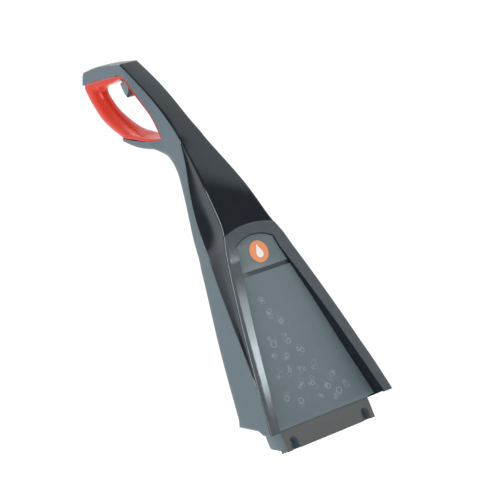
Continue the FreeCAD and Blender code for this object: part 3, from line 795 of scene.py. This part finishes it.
def make_rear_shell():
    """The slate shell, cut for the recess, the screws and its service cover."""
    shell = slab("rear_shell_moulding", shell_runs(), shell_width)
    # At the rear of the loop no slate may stand out past the soft grip.
    outside = block("outside", (-40, 40), (187, 250), (490, 575))
    cut(outside, loop_sweep("loop_envelope", 0.25))
    cut(shell, outside)
    plate = slab("loop_side_plate", shell_runs(), shell_width)
    cut(shell, recess_tool("recess_cut", 5.7, extra=RECESS_WALL + 0.1))
    for k, (x, z) in enumerate([(side * x, z) for x, z in SCREWS for side in (-1, 1)]):
        back = back_y(z)
        seat = back - WELL_DEPTH
        cut(shell, tube_tool("well_%d" % k, WELL_RADIUS, (x, seat, z), (x, seat + 40.0, z)))
        cut(shell, tube_tool("well_lip_%d" % k, WELL_LIP, (x, back - 0.5, z), (x, back + 20.0, z)))
    pocket = side_prism("plate_pocket", side_cover_outline(-0.25), SIDE_COVER_X, 60.0)
    keep = side_prism("plate_keep", side_cover_outline(0.15), SIDE_COVER_X + 0.05, 60.0)
    cut(shell, pocket)
    cut(plate, keep, operation="INTERSECT")
    for k, (y, z) in enumerate(SIDE_SCREWS):
        cut(plate, tube_tool("side_well_%d" % k, 2.1, (SIDE_COVER_X + 0.9, y, z), (40.0, y, z)))
    dress(shell, SLATE, "slate_plastic", "rear_shell")
    dress(plate, SLATE, "slate_plastic", "loop_side_cover")


# ---- front cover
def cover_rows():
    """Heights of the cover's sections, close together where the arch steps down to the neck."""
    return np.concatenate([np.arange(12.9, 284.0, 3.0), np.arange(284.0, 307.0, 0.4),
                           np.arange(307.0, 600.8, 3.0), [600.9]])


def cover_profile(z):
    """Right half of the cover's section at a height, from the middle of the front to the parting."""
    yf, yp = float(front_y(z)), float(parting_y(z))
    wf, wr = float(cover_half(z)), float(shell_half(z))
    depth = yp - yf
    crown = min(NECK_CROWN, 0.25 * depth) * ease(z, *NECK_GROWS)
    flat = min(EDGE_FLAT, 0.4 * (depth - crown))
    step_left = 1 - ease(z, *STEP_FADES)
    out = []
    for k in range(13):
        x = (wf - flat) * k / 12
        step = ARCH_STEP * smoothstep((z - arch_z(x)) / ARCH_BLEND) * step_left
        out.append((x, yf + crown * (x / wf) ** 2 + step))
    y_edge = out[-1][1]
    out.append((wf - 0.9 * flat, y_edge + 0.04 * flat))
    out.append((wf - 0.04 * flat, y_edge + 0.9 * flat))
    out.append((wf, y_edge + flat))
    y0 = y_edge + flat
    scoop = SIDE_SCOOP * max(0.0, yp - y0 - SCOOP_START)
    seam = min(0.5, 0.3 * (yp - y0))
    for k in range(1, 15):
        t = k / 14
        flare = (wr - wf) * max(0.0, (t - FLARE_START) / FLARE_SPAN) ** FLARE_POWER
        x = wf + flare - scoop * sin(pi * t)
        out.append((x, y0 + (yp - seam - y0) * t))
    x_end = out[-1][0]
    out.append((x_end - 0.3 * seam, yp - 0.3 * seam))
    out.append((x_end - seam, yp))
    return out


def make_front_cover():
    """The dark moulding: its lofted outside, joined to a tray that is hollowed for the recess."""
    rows = []
    for z in cover_rows():
        right = [(x, y, z) for x, y in cover_profile(z)]
        rows.append([(-x, y, zz) for x, y, zz in right[::-1][:-1]] + right)
    cover = skin("front_cover_moulding", rows)
    below, back, foot = 1.2, 5.5, 14.3
    low = recess_outline(RECESS_WALL, foot, below_front=below)
    deep = recess_outline(RECESS_WALL, foot, y=back)
    y_low = [front_y(z) + below for _, z in low]
    cut(cover, between_outlines("tray", low, deep, y_low, back), operation="UNION")
    cut(cover, recess_tool("recess_room", RECESS_FLOOR))
    bevel(cover, 0.5, segments=2, angle=50.0)
    dress(cover, COVER, "black_gloss")


def make_tongue():
    """Dark front plate of the tongue with its two notches, and the slate walls behind it."""
    plate = block("tongue_plate", (-TONGUE_HALF, TONGUE_HALF), (0.0, TONGUE_PLATE), (TONGUE_LOW, 14.9))
    side = [(TONGUE_PLATE, TONGUE_LOW), (32, -5), (37, -2), (TONGUE_REAR, 1.0),
            (TONGUE_REAR, 37.5), (TONGUE_PLATE, 37.5)]
    walls = side_prism("tongue_walls", side, -TONGUE_HALF, TONGUE_HALF)
    bevel(plate, 0.6)
    bevel(walls, 1.0)
    inside = [(2.6, -16), (31, -16), (35, -4), (35, 16), (2.6, 16)]
    cut(walls, side_prism("tongue_room", inside, -TONGUE_HALF + 3.0, TONGUE_HALF - 3.0))
    extras = [notch_tool("rim", x, 2.5, 2.6, 24.0, TONGUE_LOW + 0.4) for x in NOTCH_PLACES]
    for x in (-40, 40):
        extras.append(block("rib", (x - 1.0, x + 1.0), (2.55, 36), (-6, 17)))
    cut(walls, *extras, operation="UNION")
    for x in NOTCH_PLACES:
        cut(plate, notch_tool("notch", x, 0.0, -1.0, 4.0, TONGUE_LOW - 1.0))
        cut(walls, notch_tool("notch", x, 0.0, 2.0, NOTCH_FLOOR, TONGUE_LOW - 1.0))
        cut(walls, tube_tool("seat", 4.0, (x, 11.0, -5.0), (x, 25.0, -5.0)))
    dress(plate, TONGUE_FACE, "black_gloss", "front_cover")
    dress(walls, SLATE, "slate_plastic")


def notch_tool(name, x_middle, grow, y_low, y_high, z_low):
    """A U shape, open below."""
    half = NOTCH_HALF + grow
    crown_z = NOTCH_CROWN - NOTCH_HALF
    arc = [(x_middle + half * cos(a), crown_z + half * sin(a)) for a in np.linspace(0, pi, 25)]
    feet = [(x_middle - half, z_low), (x_middle + half, z_low)]
    return front_prism(name, arc + feet, y_low, y_high)


# ---- front trim
def make_panel():
    """The printed plate that fills the recess from the tongue up to the badge."""
    right = [p for p in recess_outline(-PANEL_GAP, 17.0, y=0.0) if p[1] < LEDGE_LOW and p[0] > 0]
    top_x = np.interp(LEDGE_LOW, [z for _, z in right], [x for x, _ in right])
    foot = [(TONGUE_HALF, 15.2), (TONGUE_HALF + 2.5, 16.6)]
    run = foot + sorted(right, key=lambda p: p[1]) + [(top_x, LEDGE_LOW)]
    loop = run + [(-x, z) for x, z in reversed(run)]
    panel = front_prism("panel_insert_plate", loop, 0.0, PLATE_BACK)
    bevel(panel, 0.45, angle=40)
    dress(panel, SLATE_PANEL, "slate_panel", "panel_insert")


def make_badge():
    """The arched plate above the panel; it stands a little higher."""
    y_front = -0.5
    outline = [p for p in recess_outline(-0.55, LEDGE_HIGH, y=y_front) if p[1] > LEDGE_HIGH + 0.1]
    right = [p for p in outline if p[0] > 0]
    side_slope = 0.22
    foot_x = right[0][0] + (right[0][1] - LEDGE_HIGH) * side_slope
    loop = [(foot_x, LEDGE_HIGH)] + outline + [(-foot_x, LEDGE_HIGH)]
    badge = front_prism("badge_plate_satin", loop, y_front, PLATE_BACK)
    bevel(badge, 0.5, angle=40)
    dress(badge, BADGE, "grey_satin", "badge_plate")


def panel_half(z):
    """Half width of the panel's visible face."""
    (x_low, z_low), (x_high, z_high) = RECESS_SIDE[:2]
    rim = np.interp(z, [z_low, z_high], [x_low, x_high])
    return rim + draft_at(z) * front_y(z) - PANEL_GAP


def make_bubbles():
    """Printed froth: rings of several sizes in loose bunches that drift down across the panel."""
    picker = random.Random(29)
    bunches = [(-26, 192), (-21, 172), (-9, 160), (-36, 138), (-15, 133),
               (-44, 116), (-24, 112), (3, 110), (-47, 90), (-27, 88),
               (-9, 84), (15, 86), (-20, 66), (2, 62), (-48, 60), (22, 52),
               (36, 64), (-32, 44), (8, 38), (34, 34), (54, 42)]
    rings = []
    for k, (x_middle, z_middle) in enumerate(bunches):
        for _ in range(4 + (k * 5) % 3):
            radius = 1.8 + 3.4 * picker.random() ** 1.5
            angle = 2 * pi * picker.random()
            away = 7.0 * picker.random() ** 0.7
            x, z = x_middle + away * cos(angle), z_middle + away * sin(angle)
            if abs(x) < panel_half(z) - radius - 2.0 and 19.0 < z < LEDGE_LOW - 6.0:
                rings.append((x, z, radius))
    bold = [ring for k, ring in enumerate(rings) if k % 3 == 0]
    faint = [ring for k, ring in enumerate(rings) if k % 3]
    dress(ring_mesh("bubble_pattern", bold), BUBBLE, "white_print")
    dress(ring_mesh("bubble_pattern_faint", faint), BUBBLE_FAINT, "white_print")


def ring_mesh(name, rings, segments=30):
    """Thin printed rings, one piece, each a hair prouder than the last so that none share a face."""
    vertices, faces = [], []
    for k, (x, z, radius) in enumerate(rings):
        stroke = 0.42 + 0.07 * radius
        proud = 0.09 + 0.0004 * k
        section = [(radius - stroke, 0.0), (radius - 0.8 * stroke, -proud),
                   (radius - 0.2 * stroke, -proud), (radius, 0.0), (radius - 0.5 * stroke, 0.05)]
        base = len(vertices)
        for step in range(segments):
            a = 2 * pi * step / segments
            vertices += [(x + r * cos(a), y, z + r * sin(a)) for r, y in section]
        faces += [tuple(base + i for i in f)
                  for f in grid_faces(segments, len(section), close_rows=True)]
    return mesh_object(name, vertices, faces)


# ---- grip
def ring_section(a, b, power, count=36):
    """Superellipse (along, across) with half axes a and b."""
    out = []
    for k in range(count):
        t = 2 * pi * k / count
        c, s = cos(t), sin(t)
        out.append((a * math.copysign(abs(c) ** (2 / power), c),
                    b * math.copysign(abs(s) ** (2 / power), s)))
    return out


def grip_stations():
    """Matched (inner point, outer point, squareness), from the V over the nose and back to the V."""
    arc = sampled(REAR_ARC, 1.0)

    def rear(z):
        inset = RIM_INSET * ease(z, *INSET_GROWS)
        return (np.interp(z, arc[:, 1], arc[:, 0]) - inset, z + inset)

    table = [
        ((92.6, 474.5), (90.9, 472), 5.0),
        ((95, 488), (92.8, 487), 5.0),
        ((99.3, 510), (96.6, 510.3), 5.0),
        ((109.6, 537), (107, 538.6), 5.0),
        ((118, 557), (115.2, 558.6), 5.0),
        ((124.4, 572.5), (121.6, 574.5), 5.0),
        ((127.8, 580), (125, 581.8), 5.0),
        ((135, 583), (132, 587.6), 5.0),
        ((149, 585), (147.5, 592.6), 5.0),
        ((163, 587), (165, 597.6), 5.0),
        ((179, 589.8), (188, 603), 4.8),
        ((191, 591.8), (211, 608), 4.4),
        ((200.2, 592.6), (227, 611.6), 3.8),
        ((203.6, 589.4), (239, 611.2), 3.1),
        ((203.2, 581), rear(596.0), 2.4),
        ((199, 569), rear(574.0), 2.15),
        ((192.2, 553.4), rear(550.0), 2.05),
        ((180, 535.6), rear(528.5), 2.05),
        ((166.8, 519.6), rear(513.0), 2.1),
        ((154.5, 507.8), rear(503.5), 2.3),
        ((142, 498), (161.8, 493.9), 2.8),
        ((131, 489.6), (138, 483.8), 4.0),
        ((116.5, 481.9), (119, 477.4), 5.0),
        ((103, 476.4), (104.6, 473.6), 5.0),
        ((93, 472.6), (94, 471), 5.0),
    ]
    rows = np.array([(*inner, *outer, power) for inner, outer, power in table])
    place = np.concatenate([[0], np.cumsum(norm(np.diff(rows[:, :4], axis=0), axis=1))])
    rows = spline_columns(place, rows, np.linspace(0, place[-1], 190))
    return [(row[0:2], row[2:4], row[4]) for row in rows]


def spline_columns(place, rows, fine):
    """Cubic interpolation of table columns along place, with the slopes of the neighbours averaged."""
    slopes = np.zeros_like(rows)
    gap = np.diff(place)[:, None]
    secant = np.diff(rows, axis=0) / gap
    slopes[1:-1] = 0.5 * (secant[1:] + secant[:-1])
    slopes[0], slopes[-1] = secant[0], secant[-1]
    i = np.clip(np.searchsorted(place, fine, side="right") - 1, 0, len(place) - 2)
    h = np.diff(place)[i][:, None]
    t = ((fine - place[i])[:, None]) / h
    a, b = rows[i], rows[i + 1]
    return ((2 * t ** 3 - 3 * t ** 2 + 1) * a + (t ** 3 - 2 * t ** 2 + t) * h * slopes[i]
            + (3 * t ** 2 - 2 * t ** 3) * b + (t ** 3 - t ** 2) * h * slopes[i + 1])


def loop_sweep(name, grow=0.0):
    """The soft grip's ring: a lip round the opening that swells into the oval rear handle."""
    rings = []
    for inner, outer, power in grip_stations():
        centre = (inner + outer) / 2
        along = (outer - inner) / 2
        reach = norm(along)
        along = along / reach
        half = float(shell_width(*centre)) + 0.35 + grow
        rings.append([(x, centre[0] + along[0] * u, centre[1] + along[1] * u)
                      for u, x in ring_section(reach + grow, half, power)])
    return skin(name, rings, sharp_angle=50)


def make_trigger():
    """Finger blade with a soft facing that wraps its front and toe; the facing's near-black colour is
    painted shade for the trigger's shaded front face.
    """
    stem = side_prism("trigger_blade", rounded(
        [(134, 596), (148.5, 590), (147.6, 578), (134.4, 578), (135, 585)],
        [3.0, 5.0, 1.0, 1.0, 6.0]), -BLADE_HALF, BLADE_HALF)
    paddle = side_prism("paddle", rounded(
        [(134.4, 580.6), (151, 580.8), (150.6, 571), (149.4, 562), (145.6, 556.8), (137, 556.8),
         (132.8, 560.4), (134, 576)], [1.2, 2.0, 12.0, 6.0, 4.0, 2.0, 2.0, 8.0]),
        -PADDLE_HALF, PADDLE_HALF)
    bevel(paddle, 1.6, 4, angle=50)
    cut(stem, paddle, operation="UNION")
    pad = side_prism("trigger_pad_soft", rounded(
        [(134.4, 577.2), (134.9, 570), (136.8, 564.8), (140.6, 561.2), (147.2, 559.6), (145.8, 555.8),
         (138.4, 555.8), (133.4, 558.2), (131.4, 562.4), (131.8, 575.8)],
        [1.5, 3.0, 3.0, 3.0, 1.5, 3.0, 3.0, 3.0, 2.0, 1.5]),
        -PAD_HALF, PAD_HALF)
    for k in range(4):
        y, z = 126.0 + 0.45 * k, 561.0 + 3.2 * k
        cut(pad, block("groove", (-5.2, 5.2), (y, 130.2 + 0.45 * k), (z, 562.0 + 3.2 * k)))
    bevel(pad, 2.0, 4, angle=50)
    dress(stem, LEVER, "slate_plastic", "trigger", body="trigger")
    dress(pad, PAD_PAINTED_SHADE, "black_rubber", "trigger_pad", body="trigger")


# ---- CAD nodes that stay
def finish_nodes():
    """Materials and broken edges for the small parts that are used as the CAD made them."""
    for material, names in (
            (ORANGE, ["emblem_disc"]),
            (WHITE, ["emblem_drop"]),
            (STEEL, ["loop_side_screws", "cover_screws", "tongue_sleeves", "trigger_pin"]),
            (WARM_STEEL, ["trigger_spring", "lower_rod_spring"]),
            (INNER_BLACK, ["grip_core", "upper_rod", "upper_rod_head", "upper_rod_foot",
                           "upper_guide_high", "upper_guide_low", "lower_rod", "lower_rod_collar",
                           "lower_guide_high", "lower_guide_low"])):
        for name in names:
            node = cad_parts[name]
            node.data.materials.clear()
            node.data.materials.append(material)
            add_bevel(node, 0.25, segments=2, angle=50.0)


# ---- stage
def backdrop():
    """A surround, white behind the object and high up, dark towards the photographer; a pale floor."""
    world = bpy.data.worlds.new("studio")
    bpy.context.scene.world = world
    world.use_nodes = True
    tree = world.node_tree
    direction = tree.nodes.new("ShaderNodeTexCoord").outputs["Generated"]
    facing = tree.nodes.new("ShaderNodeVectorMath")
    facing.operation = "DOT_PRODUCT"
    feed(tree, facing, {0: direction, 1: photographer_axes()[0]})
    bright = math_node(tree, "DIVIDE", facing.outputs["Value"], BEHIND, clamp=True)
    split = tree.nodes.new("ShaderNodeSeparateXYZ")
    tree.links.new(direction, split.inputs[0])
    sideways = math_node(tree, "SUBTRACT", split.outputs["X"], SKY_PIVOT)
    slanted = scaled(tree, sideways, SKY_SLANT, split.outputs["Z"])
    high = band(tree, slanted, SKY_EDGE, SKY_BLEND)
    overhead = band(tree, split.outputs["Z"], OVERHEAD, OVERHEAD_BLEND)
    white = math_node(tree, "MAXIMUM", bright, math_node(tree, "MAXIMUM", high, overhead))
    level = scaled(tree, white, 1.0 - DARK_SIDE, DARK_SIDE)
    feed(tree, tree.nodes["Background"], {"Color": level, "Strength": SKY_POWER})
    bpy.ops.mesh.primitive_circle_add(vertices=96, radius=4.0, fill_type="NGON",
                                      location=(0, 0, FLOOR_Z))
    floor = bpy.context.object
    floor.name = "floor"
    material, tree, bsdf = new_material("pale_floor")
    feed(tree, bsdf, {
        "Base Color": (0.95, 0.95, 0.95, 1.0),
        "Roughness": 0.8,
        "Specular IOR Level": 0.2,
        "Emission Color": (1.0, 1.0, 1.0, 1.0),
        "Emission Strength": 0.55})
    floor.data.materials.append(material)


def softbox(name, place, target, size, power, only_shine=False):
    """An area light; with only_shine it shows in reflections but adds no diffuse light."""
    data = bpy.data.lights.new(name, "AREA")
    data.shape = "RECTANGLE"
    data.size, data.size_y = size
    data.energy = power
    light = new_object(name, data)
    light.location = place
    light.rotation_euler = (Vector(target) - Vector(place)).to_track_quat("-Z", "Y").to_euler()
    light.visible_diffuse = not only_shine
    return light


def photographer_axes():
    """Where the camera looks, and which way its picture's right and top point."""
    azimuth, elevation, roll = radians(37.0), radians(-5.39), radians(22.15)
    forward = Vector((sin(azimuth) * cos(elevation), cos(azimuth) * cos(elevation),
                      -sin(elevation)))
    right = forward.cross(Vector((0, 0, 1))).normalized()
    up = right.cross(forward)
    across = right * cos(roll) - up * sin(roll)
    upward = right * sin(roll) + up * cos(roll)
    return forward, across, upward


def camera():
    """The photo's long lens, aimed so that the object lies where it does in the photo."""
    forward, across, upward = photographer_axes()
    aim = Vector((-32.0, -25.3, 263.8)) * MM
    distance = 2.777
    data = bpy.data.cameras.new("camera")
    data.lens = 144.0
    data.sensor_width = 36.0
    data.clip_end = 30.0
    cam = new_object("camera", data)
    turn = Matrix((across, upward, -forward)).transposed()
    cam.matrix_world = Matrix.Translation(aim - forward * distance) @ turn.to_4x4()
    bpy.context.scene.camera = cam


def lights():
    """Soft studio light: overhead, left and front; and cards that only show as reflections.

    Places are in metres; each size is width and height, and each power is in watts.
    """
    aim = Vector((0.0, 0.05, 0.30))
    softbox("top", aim + Vector((-0.5, 1.0, 1.8)), aim, (1.6, 1.2), 16.0)
    softbox("left", aim + Vector((-1.85, -0.3, 0.35)), aim, (0.9, 1.6), 3.2)
    softbox("front", aim + Vector((-0.9, -1.7, 1.1)), aim, (1.4, 1.0), 3.5)
    rail = Vector((-0.078, -0.011, 0.13))
    for name, place, height, power in (("card_low", (0.327, -0.569, 0.222), 0.10, 0.42),
                                       ("card_high", (0.338, -0.560, 0.310), 0.076, 0.16)):
        card = softbox(name, Vector(place), rail, (0.085, height), power, only_shine=True)
        card.rotation_euler.rotate_axis("Z", radians(-10))
    middle = Vector((-0.05, 0.0, 0.3))
    edge = Vector((-0.72, -0.55, 0.43)).normalized()
    softbox("edge_card", middle + edge * 1.3, middle, (0.42, 0.95), 14.0, only_shine=True)


make_rear_shell()
make_front_cover()
make_tongue()
make_panel()
make_badge()
make_bubbles()
dress(loop_sweep("grip_moulding"), RED, "red_grip", "grip_overmould")
make_trigger()
finish_nodes()
backdrop()
camera()
lights()

bpy.context.scene.view_settings.view_transform = "Standard"
bpy.context.view_layer.update()
